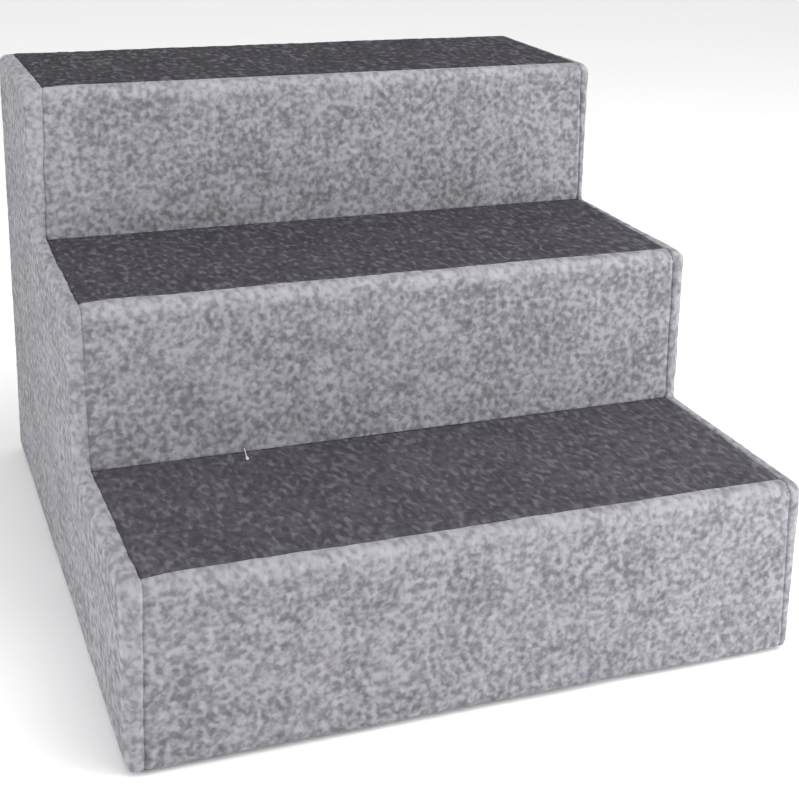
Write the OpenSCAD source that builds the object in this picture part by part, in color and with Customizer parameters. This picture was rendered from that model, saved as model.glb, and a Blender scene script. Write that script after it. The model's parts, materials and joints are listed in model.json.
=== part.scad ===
// Felt-covered pet stairs: three closed steps built from thin boards on a batten frame.
// The origin is on the floor at the middle of the footprint. +X is to the right of someone
// who stands in front, +Y runs towards the back and +Z is up.

/* [Overall size] */
// Width over the felt
stair_w = 400; // [300:1:600]
// Height of the first tread above the floor
rise_1 = 109; // [90:1:160]
// Height of the second tread above the first
rise_2 = 100; // [90:1:160]
// Height of the top tread above the second
rise_3 = 99; // [90:1:160]
// Depth of the first tread, from its nose to the second riser
going_1 = 147; // [120:1:240]
// Depth of the second tread, from its nose to the third riser
going_2 = 148; // [120:1:240]
// Depth of the top tread, from its nose to the back
going_3 = 154; // [120:1:240]

/* [Boards] */
// Thickness of the two side panels
side_board_t = 6; // [5:0.5:12]
// Thickness of the riser boards
riser_board_t = 9; // [6:0.5:15]
// Thickness of the tread boards
tread_board_t = 9; // [6:0.5:15]
// Thickness of the back board
back_board_t = 9; // [6:0.5:15]
// Thickness of the board that closes the underside
base_board_t = 3; // [3:0.5:6]
// Width and height of the square battens
batten_w = 15; // [12:1:22]

/* [Felt] */
// Thickness of the felt
felt_t = 3; // [2:0.25:4]
// Outer radius of the felt where it turns over a nose or the top back edge
nose_r = 7; // [5:0.5:12]
// Outer radius of the felt where it turns under the bottom edge
base_r = 4.5; // [4.25:0.25:6]
// Gap between two pieces of felt that meet at a seam
seam_gap = 0.6; // [0.2:0.1:1.5]

/* [Feet] */
// Radius of the rubber feet
foot_r = 12; // [8:1:20]
// Thickness of the rubber feet
foot_t = 1.5; // [1.5:0.5:6]
// Distance from each outer face to the middle of a foot
foot_inset = 42; // [35:1:70]

/* [Screws] */
// Length of the screws through the side panels and the base board
short_screw_l = 16; // [12:1:18]
// Length of the screws through the riser, tread and back boards
long_screw_l = 20; // [16:1:22]
// Radius of the screw heads
head_r = 3.4; // [3:0.1:4]
// Radius of the screw shanks
shank_r = 1.75; // [1.5:0.05:2]
// Room around a screw in its hole
screw_room = 0.1; // [0.05:0.05:0.3]
// Distance from a batten's end to the first screw through the side panel
side_screw_inset = 20; // [19:1:24]
// Distance from a batten's end to the first screw through any other board
board_screw_inset = 35; // [33:1:38]

/* [Hidden] */
STEPS = 3;
SIDES = ["left", "right"];
DEPTH_ENDS = ["front", "back"];
ARC_STEPS = 6;          // straight pieces in a quarter turn
CUT = 1;                // how far a cutting shape runs past what it cuts
tall_post_h = 150;      // a post that reaches higher gets a third screw through its side panel

rises = [rise_1, rise_2, rise_3];
goings = [going_1, going_2, going_3];

// Sum of the first n values of a list
function sum_first(list, n) = n == 0 ? 0 : list[n - 1] + sum_first(list, n - 1);

stair_d = sum_first(goings, STEPS);
front_y = -stair_d / 2;
back_y = stair_d / 2;
inner_w = stair_w - 2 * (felt_t + side_board_t);
board_z = foot_t + base_board_t;               // bottom edge of the upright boards
nose_wrap = felt_t + riser_board_t;            // how far riser felt comes back over a nose
back_wrap = felt_t + back_board_t;             // how far back felt comes forward underneath

// Front face of the felt on riser k, and top face of the felt on tread k, from 1
function nose_y(k) = front_y + sum_first(goings, k - 1);
function tread_z(k) = sum_first(rises, k);
// Front face of the battens of post k: posts 1 to 3 stand behind the risers, post 4 at the back
function post_y(k) = k <= STEPS ? nose_y(k) + nose_wrap : back_y - back_wrap - batten_w;
// Underside of tread board k; post 4 reaches as high as post 3
function underside_z(k) = tread_z(min(k, STEPS)) - felt_t - tread_board_t;
// Bottom edge of riser board k: the first starts at the bottom, the others stand on a tread board
function riser_z(k) = k == 1 ? board_z : tread_z(k - 1) - felt_t;
// Back edge of tread board k: under the next riser board, or the top board's back edge
function tread_back_y(k) = k < STEPS ? nose_y(k + 1) + nose_wrap : back_y - felt_t;

// n values from a to b at equal distances
function spread(a, b, n) = [for (i = [0:n - 1]) a + (b - a) * i / (n - 1)];
// Points on an arc round [y, z], from angle a to angle b
function arc(y, z, r, a, b) = [for (t = spread(a, b, ARC_STEPS + 1)) [y + r * cos(t), z + r * sin(t)]];

felt_shade = [0.63, 0.62, 0.65];
dark_felt_shade = [0.34, 0.33, 0.36];
board_shade = [0.72, 0.58, 0.42];
batten_shade = [0.85, 0.72, 0.52];
steel_shade = [0.75, 0.76, 0.78];
rubber_shade = [0.12, 0.12, 0.13];

function numbered(name, n) = [for (k = [1:n]) str(name, "_", k)];

// ---- Outlines, drawn with Y to the right and Z up ----

// The stairs from the side, all round inset by d from the outer face of the felt
module stair_outline(d) {
    r = nose_r - d;
    low_r = base_r - d;
    bottom = board_z - felt_t + d;
    polygon(concat(
        arc(front_y + d + low_r, bottom + low_r, low_r, 270, 180),
        [for (k = [1:STEPS]) each concat(
            k == 1 ? [] : [[nose_y(k) + d, tread_z(k - 1) - d]],
            arc(nose_y(k) + d + r, tread_z(k) - d - r, r, 180, 90)
        )],
        arc(back_y - d - r, tread_z(STEPS) - d - r, r, 90, 0),
        arc(back_y - d - low_r, bottom + low_r, low_r, 0, -90)
    ));
}

// A rectangle between two values of y and two of z
module window(y0, y1, z0, z1) {
    translate([y0, z0])
        square([y1 - y0, z1 - z0]);
}

// A Y and Z outline made solid between two values of x
module along_x(x0, x1) {
    translate([x0, 0, 0])
        rotate([90, 0, 90])
            linear_extrude(x1 - x0)
                children();
}

// A board across the inside, cut from the outline under the felt
module cross_board(y0, y1, z0, z1) {
    along_x(-inner_w / 2, inner_w / 2)
        intersection() {
            stair_outline(felt_t);
            window(y0, y1, z0, z1);
        }
}

// A piece of felt between the side panels, cut from the layer on top of the boards
module cross_felt(y0, y1, z0, z1) {
    half_w = inner_w / 2 - seam_gap;
    along_x(-half_w, half_w)
        intersection() {
            difference() {
                stair_outline(0);
                stair_outline(felt_t);
            }
            window(y0, y1, z0, z1);
        }
}

// A box between two corners
module block(low, high) {
    translate(low)
        cube(high - low);
}

// The children as they are on the left, or mirrored for the right
module on_side(side) {
    if (side == "left") {
        children();
    } else {
        mirror([1, 0, 0])
            children();
    }
}

// ---- Screws: the head's face is at the origin and the point is towards +Z ----

head_h = 2;             // from the head's face to the shank
head_rim = 0.4;         // straight edge of the head
tip_l = 4;              // length of the point
tip_r = 0.3;            // radius at the end of the point
drive_w = 1.9;          // width of the square drive recess
drive_h = 1.2;          // depth of the square drive recess

module screw(length) {
    difference() {
        rotate_extrude($fn = 24)
            polygon([
                [0, 0],
                [head_r, 0],
                [head_r, head_rim],
                [shank_r, head_h],
                [shank_r, length - tip_l],
                [tip_r, length],
                [0, length]
            ]);
        translate([-drive_w / 2, -drive_w / 2, -CUT])
            cube([drive_w, drive_w, CUT + drive_h]);
    }
}

module screw_hole(length) {
    rotate_extrude($fn = 24)
        polygon([
            [0, -CUT],
            [head_r + screw_room, -CUT],
            [head_r + screw_room, head_rim],
            [shank_r + screw_room, head_h],
            [shank_r + screw_room, length + screw_room],
            [0, length + screw_room]
        ]);
}

// Through the left panel and into the posts and cleats
module at_side_screws() {
    for (k = [1:STEPS + 1]) {
        count = underside_z(k) > tall_post_h ? 3 : 2;
        for (z = spread(board_z + side_screw_inset, underside_z(k) - side_screw_inset, count)) {
            translate([-inner_w / 2 - side_board_t, post_y(k) + batten_w / 2, z])
                rotate([0, 90, 0])
                    children();
        }
    }
    for (k = [1:STEPS]) {
        for (y = [post_y(k) + batten_w + side_screw_inset, post_y(k + 1) - side_screw_inset]) {
            translate([-inner_w / 2 - side_board_t, y, underside_z(k) - batten_w / 2])
                rotate([0, 90, 0])
                    children();
        }
    }
}

// Through riser board k, into the left post and the left half of the rail
module at_riser_screws(k) {
    post_x = -inner_w / 2 + batten_w / 2;
    for (z = [riser_z(k) + board_screw_inset, underside_z(k) - board_screw_inset]) {
        translate([post_x, nose_y(k) + felt_t, z])
            rotate([-90, 0, 0])
                children();
    }
    translate([-inner_w / 6, nose_y(k) + felt_t, underside_z(k) - batten_w / 2])
        rotate([-90, 0, 0])
            children();
}

// Down through tread board k into the left cleat
module at_tread_screws(k) {
    for (y = [post_y(k) + batten_w + board_screw_inset, post_y(k + 1) - board_screw_inset]) {
        translate([-inner_w / 2 + batten_w / 2, y, tread_z(k) - felt_t])
            rotate([180, 0, 0])
                children();
    }
}

// Through the back board into the left back post
module at_back_screws() {
    last = STEPS + 1;
    for (z = spread(board_z + board_screw_inset, underside_z(last) - board_screw_inset, 4)) {
        translate([-inner_w / 2 + batten_w / 2, back_y - felt_t, z])
            rotate([90, 0, 0])
                children();
    }
}

// Up through the base board into the foot of each left post
module at_base_screws() {
    for (k = [1:STEPS + 1]) {
        translate([-inner_w / 2 + batten_w / 2, post_y(k) + batten_w / 2, foot_t])
            children();
    }
}

// ---- Boards ----

module side_panel() {
    difference() {
        along_x(-inner_w / 2 - side_board_t, -inner_w / 2)
            stair_outline(felt_t);
        at_side_screws()
            screw_hole(short_screw_l);
    }
}

module left_side_panel() {
    color(board_shade)
        side_panel();
}

module right_side_panel() {
    color(board_shade)
        on_side("right")
            side_panel();
}

module riser_board(k) {
    color(board_shade)
        difference() {
            cross_board(nose_y(k), nose_y(k) + nose_wrap, riser_z(k), tread_z(k));
            for (side = SIDES) {
                on_side(side)
                    at_riser_screws(k)
                        screw_hole(long_screw_l);
            }
        }
}

module tread_board(k) {
    color(board_shade)
        difference() {
            cross_board(nose_y(k) + nose_wrap, tread_back_y(k), underside_z(k), tread_z(k) - felt_t);
            for (side = SIDES) {
                on_side(side)
                    at_tread_screws(k)
                        screw_hole(long_screw_l);
            }
        }
}

module back_board() {
    color(board_shade)
        difference() {
            cross_board(back_y - back_wrap, back_y, board_z, underside_z(STEPS));
            for (side = SIDES) {
                on_side(side)
                    at_back_screws()
                        screw_hole(long_screw_l);
            }
        }
}

// The underside is closed inside the turned-in felt
module base_board() {
    half_w = inner_w / 2 - seam_gap;
    color(board_shade)
        difference() {
            block(
                [-half_w, front_y + nose_wrap + seam_gap, foot_t],
                [half_w, back_y - back_wrap - seam_gap, board_z]
            );
            for (side = SIDES) {
                on_side(side)
                    at_base_screws()
                        screw_hole(short_screw_l);
            }
        }
}

// ---- Battens ----

// Post k stands in the corner between a side panel and a riser board or the back board
module post(side, k) {
    color(batten_shade)
        on_side(side)
            difference() {
                block(
                    [-inner_w / 2, post_y(k), board_z],
                    [-inner_w / 2 + batten_w, post_y(k) + batten_w, underside_z(k)]
                );
                at_side_screws()
                    screw_hole(short_screw_l);
                if (k <= STEPS) {
                    at_riser_screws(k)
                        screw_hole(long_screw_l);
                } else {
                    at_back_screws()
                        screw_hole(long_screw_l);
                }
                at_base_screws()
                    screw_hole(short_screw_l);
            }
}

// Cleat k carries the end of tread board k, between two posts
module cleat(side, k) {
    color(batten_shade)
        on_side(side)
            difference() {
                block(
                    [-inner_w / 2, post_y(k) + batten_w, underside_z(k) - batten_w],
                    [-inner_w / 2 + batten_w, post_y(k + 1), underside_z(k)]
                );
                at_side_screws()
                    screw_hole(short_screw_l);
                at_tread_screws(k)
                    screw_hole(long_screw_l);
            }
}

// Rail k stiffens the nose of step k, between the two posts
module front_rail(k) {
    half_w = inner_w / 2 - batten_w;
    color(batten_shade)
        difference() {
            block(
                [-half_w, post_y(k), underside_z(k) - batten_w],
                [half_w, post_y(k) + batten_w, underside_z(k)]
            );
            for (side = SIDES) {
                on_side(side)
                    at_riser_screws(k)
                        screw_hole(long_screw_l);
            }
        }
}

// ---- Felt ----

// One piece covers the side panel's outer face and turns in over all its edges
module side_felt() {
    difference() {
        along_x(-stair_w / 2, -inner_w / 2)
            stair_outline(0);
        along_x(-stair_w / 2 + felt_t, -inner_w / 2 + CUT)
            stair_outline(felt_t);
    }
}

module left_side_felt() {
    color(felt_shade)
        side_felt();
}

module right_side_felt() {
    color(felt_shade)
        on_side("right")
            side_felt();
}

// The felt of a riser also covers its nose; the first one turns under the bottom edge
module riser_felt(k) {
    low_z = k == 1 ? 0 : riser_z(k);
    color(felt_shade)
        cross_felt(nose_y(k), nose_y(k) + nose_wrap, low_z, tread_z(k));
}

// The dark walking surface lies behind the nose, and the top one runs over the back edge
module tread_felt(k) {
    end_y = k < STEPS ? nose_y(k + 1) - seam_gap : back_y;
    color(dark_felt_shade)
        cross_felt(nose_y(k) + nose_wrap + seam_gap, end_y, tread_z(k) - felt_t, tread_z(k));
}

module back_felt() {
    color(felt_shade)
        cross_felt(back_y - back_wrap, back_y, 0, tread_z(STEPS) - felt_t - seam_gap);
}

// ---- Screws in place, and feet ----

module side_screws() {
    color(steel_shade)
        for (side = SIDES) {
            on_side(side)
                at_side_screws()
                    screw(short_screw_l);
        }
}

module riser_screws() {
    color(steel_shade)
        for (side = SIDES) {
            for (k = [1:STEPS]) {
                on_side(side)
                    at_riser_screws(k)
                        screw(long_screw_l);
            }
        }
}

module tread_screws() {
    color(steel_shade)
        for (side = SIDES) {
            for (k = [1:STEPS]) {
                on_side(side)
                    at_tread_screws(k)
                        screw(long_screw_l);
            }
        }
}

module back_screws() {
    color(steel_shade)
        for (side = SIDES) {
            on_side(side)
                at_back_screws()
                    screw(long_screw_l);
        }
}

module base_screws() {
    color(steel_shade)
        for (side = SIDES) {
            on_side(side)
                at_base_screws()
                    screw(short_screw_l);
        }
}

// A flat disc with a bevelled lower edge
module foot(end, side) {
    bevel = foot_t / 3;
    y = end == "front" ? front_y + foot_inset : back_y - foot_inset;
    color(rubber_shade)
        on_side(side)
            translate([-stair_w / 2 + foot_inset, y, 0])
                rotate_extrude($fn = 48)
                    polygon([
                        [0, 0],
                        [foot_r - bevel, 0],
                        [foot_r, bevel],
                        [foot_r, foot_t],
                        [0, foot_t]
                    ]);
}

// ---- Assembly ----

left_side_panel();
right_side_panel();
back_board();
base_board();
left_side_felt();
right_side_felt();
back_felt();
side_screws();
riser_screws();
tread_screws();
back_screws();
base_screws();
for (k = [1:STEPS]) {
    riser_board(k);
    tread_board(k);
    front_rail(k);
    riser_felt(k);
    tread_felt(k);
}
for (side = SIDES) {
    for (k = [1:STEPS + 1]) {
        post(side, k);
    }
    for (k = [1:STEPS]) {
        cleat(side, k);
    }
    for (end = DEPTH_ENDS) {
        foot(end, side);
    }
}
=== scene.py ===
"""Felt-covered pet stairs: covers the board frame in felt, finishes its boards, battens, screws and
feet, and stands it in a small studio. Everything is in metres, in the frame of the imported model."""

import json
import math

import bmesh
import bpy
import numpy as np
from mathutils import Matrix, Vector

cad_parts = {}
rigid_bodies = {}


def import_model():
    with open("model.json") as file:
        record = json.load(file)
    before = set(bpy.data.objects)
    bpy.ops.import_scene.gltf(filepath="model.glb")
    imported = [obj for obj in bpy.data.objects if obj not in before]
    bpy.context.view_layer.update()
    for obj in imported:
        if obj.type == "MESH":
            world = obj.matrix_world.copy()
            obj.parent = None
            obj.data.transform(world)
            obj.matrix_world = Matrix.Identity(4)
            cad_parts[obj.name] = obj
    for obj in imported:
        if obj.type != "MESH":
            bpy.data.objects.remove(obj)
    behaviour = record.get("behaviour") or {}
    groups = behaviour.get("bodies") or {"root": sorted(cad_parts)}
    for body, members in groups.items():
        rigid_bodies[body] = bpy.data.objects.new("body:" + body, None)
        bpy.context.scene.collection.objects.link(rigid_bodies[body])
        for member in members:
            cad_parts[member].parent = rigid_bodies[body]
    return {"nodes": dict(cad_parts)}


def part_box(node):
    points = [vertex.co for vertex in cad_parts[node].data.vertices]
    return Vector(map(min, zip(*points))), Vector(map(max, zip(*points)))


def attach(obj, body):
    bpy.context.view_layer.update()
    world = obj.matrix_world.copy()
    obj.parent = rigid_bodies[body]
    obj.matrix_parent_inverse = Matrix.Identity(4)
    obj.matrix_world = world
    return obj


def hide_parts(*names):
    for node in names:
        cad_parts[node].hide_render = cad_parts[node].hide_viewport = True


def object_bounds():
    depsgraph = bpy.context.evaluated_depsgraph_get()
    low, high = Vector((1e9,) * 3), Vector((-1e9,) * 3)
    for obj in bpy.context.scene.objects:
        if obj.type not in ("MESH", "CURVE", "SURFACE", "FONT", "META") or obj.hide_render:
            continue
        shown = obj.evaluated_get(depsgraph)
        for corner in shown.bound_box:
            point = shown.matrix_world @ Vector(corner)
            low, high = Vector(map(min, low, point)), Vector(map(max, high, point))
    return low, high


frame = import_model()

bl_info = {
    "name": "Felt Pet Stairs",
    "version": (1, 0, 0),
    "blender": (4, 5, 0),
    "location": "3D View > Sidebar > Pet Stairs",
    "description": "Covers a board frame of pet stairs in felt and lights it in a small studio",
    "category": "Add Mesh",
}

MM = 0.001
STEPS = (1, 2, 3)
SIDES = ("left", "right")
ROOT = "root"

cad_low, cad_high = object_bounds()


# ---- Settings ----

def length(name, description, default_mm):
    """A length that the sidebar shows in the scene's units."""
    return bpy.props.FloatProperty(
        name=name, description=description, default=default_mm * MM, min=0.0, unit="LENGTH", precision=5
    )


def colour(name, description, default):
    """A colour in linear light."""
    return bpy.props.FloatVectorProperty(
        name=name, description=description, default=default, size=3, min=0.0, max=1.0, subtype="COLOR"
    )


def power(name, description, default):
    """The power of a light."""
    return bpy.props.FloatProperty(
        name=name, description=description, default=default, min=0.0, unit="POWER"
    )


class StairsFeltSettings(bpy.types.PropertyGroup):
    """How the felt is cut, glued down and coloured."""

    grid: length("Grid", "Distance between the points of the felt's mesh", 1.5)
    nose_radius: length("Nose Radius", "Outer radius where felt turns over a nose", 7)
    base_radius: length("Base Radius", "Outer radius where felt turns under the bottom edge", 4.5)
    edge_radius: length("Edge Radius", "Outer radius where side felt turns in over its panel", 6)
    waviness: length("Waviness", "Height of the broad waves where the glue holds unevenly", 0.4)
    lumps: length("Lumps", "Height of the lumps of matted fibre", 0.2)
    trim: length("Trim", "How far a hand-cut edge wanders from a straight line", 0.6)
    closing: length("Closing", "How far each cut edge is pushed into the gap of its seam", 0.25)
    smooth_passes: bpy.props.IntProperty(
        name="Smooth Passes", description="How often cut edges are softened", default=3, min=0
    )
    fuzz: bpy.props.IntProperty(
        name="Fuzz", description="Number of loose fibres that stand up from the felt", default=5200, min=0
    )
    light_low: colour("Light Felt Shade", "Darkest tufts of the light felt", (0.126, 0.123, 0.134))
    light_high: colour("Light Felt Tint", "Palest tufts of the light felt", (0.292, 0.286, 0.308))
    dark_low: colour("Dark Felt Shade", "Darkest tufts of the dark felt", (0.0365, 0.0345, 0.0405))
    dark_high: colour("Dark Felt Tint", "Palest tufts of the dark felt", (0.052, 0.0496, 0.0566))


class StairsBoardSettings(bpy.types.PropertyGroup):
    """Colours of the boards, battens, screws and feet."""

    board_low: colour("Board Shade", "Darker fibres of the fibreboard", (0.260, 0.165, 0.088))
    board_high: colour("Board Tint", "Paler fibres of the fibreboard", (0.430, 0.300, 0.175))
    hard_low: colour("Hardboard Shade", "Darker fibres of the hardboard", (0.085, 0.048, 0.026))
    hard_high: colour("Hardboard Tint", "Paler fibres of the hardboard", (0.205, 0.122, 0.068))
    pine_low: colour("Pine Shade", "Late wood of the battens", (0.430, 0.255, 0.110))
    pine_high: colour("Pine Tint", "Early wood of the battens", (0.700, 0.520, 0.290))
    zinc: colour("Zinc", "Plated steel of the screws", (0.560, 0.560, 0.550))
    rubber: colour("Rubber", "Rubber of the feet", (0.020, 0.020, 0.021))


class StairsStageSettings(bpy.types.PropertyGroup):
    """Camera, lights and floor."""

    lens_mm: bpy.props.FloatProperty(
        name="Lens", description="Focal length in millimetres", default=68.92, min=10.0
    )
    turn: bpy.props.FloatProperty(
        name="Turn", description="How far the camera looks to the right of +Y",
        default=math.radians(20.45), subtype="ANGLE",
    )
    tilt: bpy.props.FloatProperty(
        name="Tilt", description="How far the camera looks down",
        default=math.radians(16.46), subtype="ANGLE",
    )
    roll: bpy.props.FloatProperty(
        name="Roll", description="How far the camera leans", default=math.radians(-1.01), subtype="ANGLE"
    )
    shift_y: bpy.props.FloatProperty(
        name="Shift", description="Upward shift of the lens, in sensor widths", default=-0.181
    )
    place: bpy.props.FloatVectorProperty(
        name="Camera Place", description="Camera, from the front left bottom corner, in stair widths",
        default=(-0.2748, -1.7105, 1.2153), size=3,
    )
    floor: colour("Floor", "Colour of the floor", (0.94, 0.94, 0.943))
    low_key: power("Low Key", "Light low on the right in front, which brightens the risers there", 7.0)
    low_fill: power("Low Fill", "Light low on the left, which brightens the side", 3.6)
    top: power("Top Light", "Large light overhead", 23.0)
    sky: bpy.props.FloatProperty(
        name="Sky", description="Strength of the even light from all round", default=0.86, min=0.0
    )


# ---- The stairs' outline from the side ----

def tread_level(step):
    """Top of the felt on a step."""
    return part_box(f"riser_felt_{step}")[1].z


def nose_front(step):
    """Front of the felt on a riser."""
    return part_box(f"riser_felt_{step}")[0].y


def quarter_arc(centre, radius, start, end, pieces=8):
    """Points round a centre in the Y and Z plane, from one angle to another in degrees."""
    angles = np.radians(np.linspace(start, end, pieces + 1))
    return [(centre[0] + radius * math.cos(a), centre[1] + radius * math.sin(a)) for a in angles]


class Outline:
    """The outer face of the felt seen from the side, as short straight pieces in the Y and Z plane."""

    def __init__(self, nose_radius, base_radius):
        low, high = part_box("left_side_felt")
        self.front, self.back, self.bottom = low.y, high.y, low.z
        r, b = nose_radius, base_radius
        points = quarter_arc((self.front + b, self.bottom + b), b, 270, 180)
        self.marks = {}
        for step in STEPS:
            if step > 1:
                points.append((nose_front(step), tread_level(step - 1)))
                self.marks[f"corner_{step}"] = len(points) - 1
            nose = quarter_arc((nose_front(step) + r, tread_level(step) - r), r, 180, 90)
            self.marks[f"nose_{step}"] = len(points) + len(nose) - 1
            points += nose
        points += quarter_arc((self.back - r, tread_level(STEPS[-1]) - r), r, 90, 0)
        self.marks["top_back"] = len(points) - 1
        points += quarter_arc((self.back - b, self.bottom + b), b, 0, -90)
        self.points = np.array(points)
        ahead = np.roll(self.points, -1, axis=0)
        self.runs = ahead - self.points
        self.run_lengths = np.linalg.norm(self.runs, axis=1)
        self.along = np.concatenate([[0.0], np.cumsum(self.run_lengths)[:-1]])
        unit = self.runs / self.run_lengths[:, None]
        self.inward = np.stack([unit[:, 1], -unit[:, 0]], axis=1)

    def distance_to(self, mark):
        """Distance along the outline from its start to a named point."""
        return self.along[self.marks[mark]]

    def nearest(self, points):
        """Depth under the outline, distance along it, and the inward direction, for each point."""
        depth = np.full(len(points), np.inf)
        along = np.zeros(len(points))
        inward = np.zeros((len(points), 2))
        for start, run, size, begin, into in zip(
            self.points, self.runs, self.run_lengths, self.along, self.inward
        ):
            offset = points[:, 1:3] - start
            t = np.clip(offset @ run / size**2, 0.0, 1.0)
            away = np.linalg.norm(offset - t[:, None] * run, axis=1)
            closer = away < depth
            depth[closer] = away[closer]
            along[closer] = begin + t[closer] * size
            inward[closer] = into
        return depth, along, inward

    def perimeter(self):
        """Length of the outline."""
        return float(self.run_lengths.sum())


# ---- Noise and ramps for moving points ----

def lattice_values(cells, seed):
    """A repeatable value from -1 to 1 for each whole-numbered cell."""
    i, j, k = cells.T
    h = (i * 374761393 + j * 668265263 + k * 1103515245 + seed * 1274126177) & 0xFFFFFFFF
    h = ((h ^ (h >> 13)) * 1274126177) & 0xFFFFFFFF
    return ((h ^ (h >> 16)) & 0xFFFF) / 32767.5 - 1.0


def lumpy(points, size, seed):
    """Smooth noise from -1 to 1 with lumps of about that size."""
    scaled = points / size
    cells = np.floor(scaled).astype(np.int64)
    t = scaled - cells
    t = t * t * (3 - 2 * t)
    total = np.zeros(len(points))
    for corner in np.ndindex(2, 2, 2):
        weight = np.prod(np.where(corner, t, 1 - t), axis=1)
        total += weight * lattice_values(cells + corner, seed)
    return total


def ease(values, start, end):
    """0 at start, 1 at end and smooth in between."""
    t = np.clip((values - start) / (end - start), 0.0, 1.0)
    return t * t * (3 - 2 * t)


# ---- Felt pieces ----

# Width of the light strip beside the seam, in millimetres, at the left and the right of the stairs.
# It changes evenly from one place to the next, going up the front from the bottom edge.
SEAM_MARGINS = (
    ("start", 8.8, 5.6),
    ("nose_1", 11.8, 9.0),
    ("corner_2", 9.6, 8.6),
    ("nose_2", 7.4, 9.8),
    ("corner_3", 8.4, 5.2),
    ("nose_3", 11.4, 7.4),
    ("top_back", 10.0, 4.4),
    ("end", 9.0, 8.0),
)

# How far the dark felt's left front corner comes forward on each step, in millimetres
CORNER_EARS = {1: 2.5, 2: 3.0, 3: 5.0}


def seam_margin(outline, along, column):
    """Distance from the side's outer face to the seam, at a distance along the outline."""
    marks = [0.0] + [outline.distance_to(m[0]) for m in SEAM_MARGINS[1:-1]] + [outline.perimeter()]
    return np.interp(along, marks, [m[column] * MM for m in SEAM_MARGINS])


def drift_seams(points, outline, settings):
    """Moves the felt near each seam sideways, so that the seams wander as hand-cut ones do. Both pieces
    at a seam move together."""
    moved = points.copy()
    depth, along, _ = outline.nearest(points)
    half = cad_high.x
    seam = -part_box("left_side_felt")[1].x
    reach = 22 * MM
    for sign, column in ((-1, 1), (1, 2)):
        across = points[:, 0] * sign
        pull = np.where(
            across < seam, ease(across, seam - reach, seam), 1 - ease(across, seam, half)
        )
        path = np.stack([np.full(len(points), sign * 0.5), along, np.zeros(len(points))], axis=1)
        wander = 0.7 * lumpy(path, 21 * MM, 5) + 0.45 * lumpy(path, 6.5 * MM, 6)
        target = half - seam_margin(outline, along, column) + settings.trim * wander
        moved[:, 0] += sign * pull * (target - seam)
    for step in STEPS:
        level = tread_level(step)
        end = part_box(f"riser_felt_{step}")[1].y
        here = (depth < 4 * MM) & (points[:, 2] > level - 7 * MM) & (points[:, 2] < level + 1 * MM)
        pull = np.where(
            points[:, 1] < end,
            ease(points[:, 1], nose_front(step), end),
            1 - ease(points[:, 1], end, end + 14 * MM),
        )
        path = np.stack([points[:, 0], np.full(len(points), step * 0.7), np.zeros(len(points))], axis=1)
        wander = 1.5 * lumpy(path, 34 * MM, 7) + 0.9 * lumpy(path, 8 * MM, 8)
        ear = CORNER_EARS[step] * MM * np.exp(-((points[:, 0] + seam) / (13 * MM)) ** 2)
        inside = np.abs(points[:, 0]) < seam
        moved[:, 1] += np.where(here & inside, pull * (settings.trim * wander - ear), 0.0)
    low = 1 - ease(points[:, 2], outline.bottom, outline.bottom + 14 * MM)
    moved[:, 2] += low * 0.5 * MM * lumpy(points * (1, 1, 0), 38 * MM, 9)
    return moved


def round_side_edges(points, outline, radius):
    """Turns the square edge between the outer face and the strip that faces out from the outline into a
    round one."""
    rounded = points.copy()
    outer = cad_high.x
    sign = np.sign(points[:, 0])
    depth, _, inward = outline.nearest(points)
    a = radius - (outer - np.abs(points[:, 0]))
    b = radius - depth
    near = (a > 0) & (b > 0)
    share = np.ones(len(points))
    share[near] = np.maximum(a, b)[near] / np.hypot(a, b)[near]
    rounded[:, 0] -= sign * np.where(near, a * (1 - share), 0.0)
    rounded[:, 1:3] += inward * np.where(near, b * (1 - share), 0.0)[:, None]
    return rounded


def voxel_copy(name, node, grid):
    """A closed copy of a CAD solid in even small faces."""
    mesh = frame["nodes"][node].data.copy()
    shape = bmesh.new()
    shape.from_mesh(mesh)
    bmesh.ops.remove_doubles(shape, verts=shape.verts, dist=0.01 * MM)
    shape.to_mesh(mesh)
    shape.free()
    piece = bpy.data.objects.new(name, mesh)
    bpy.context.scene.collection.objects.link(piece)
    remesh = piece.modifiers.new("Even Faces", "REMESH")
    remesh.mode = "VOXEL"
    remesh.voxel_size = grid
    remesh.adaptivity = 0.0
    graph = bpy.context.evaluated_depsgraph_get()
    even = bpy.data.meshes.new_from_object(piece.evaluated_get(graph))
    piece.modifiers.clear()
    piece.data = even
    even.name = name
    return piece


def read_points(mesh):
    """The mesh's points as an array."""
    points = np.zeros(len(mesh.vertices) * 3)
    mesh.vertices.foreach_get("co", points)
    return points.reshape(-1, 3)


def write_points(mesh, points):
    """Puts an array of points back into the mesh."""
    mesh.vertices.foreach_set("co", points.astype(np.float32).ravel())
    mesh.update()


def smoothed(mesh, points, passes, weight):
    """Each point moved half way to the middle of its neighbours, several times. Where the weight is 0,
    points stay."""
    edges = np.zeros(len(mesh.edges) * 2, np.int64)
    mesh.edges.foreach_get("vertices", edges)
    a, b = edges.reshape(-1, 2).T
    count = np.bincount(np.concatenate([a, b]), minlength=len(points))[:, None]
    for _ in range(passes):
        total = np.zeros_like(points)
        np.add.at(total, a, points[b])
        np.add.at(total, b, points[a])
        points = points + 0.5 * weight[:, None] * (total / count - points)
    return points


def point_normals(mesh):
    """The direction that each point faces."""
    normals = np.zeros(len(mesh.vertices) * 3)
    mesh.vertices.foreach_get("normal", normals)
    return normals.reshape(-1, 3)


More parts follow.
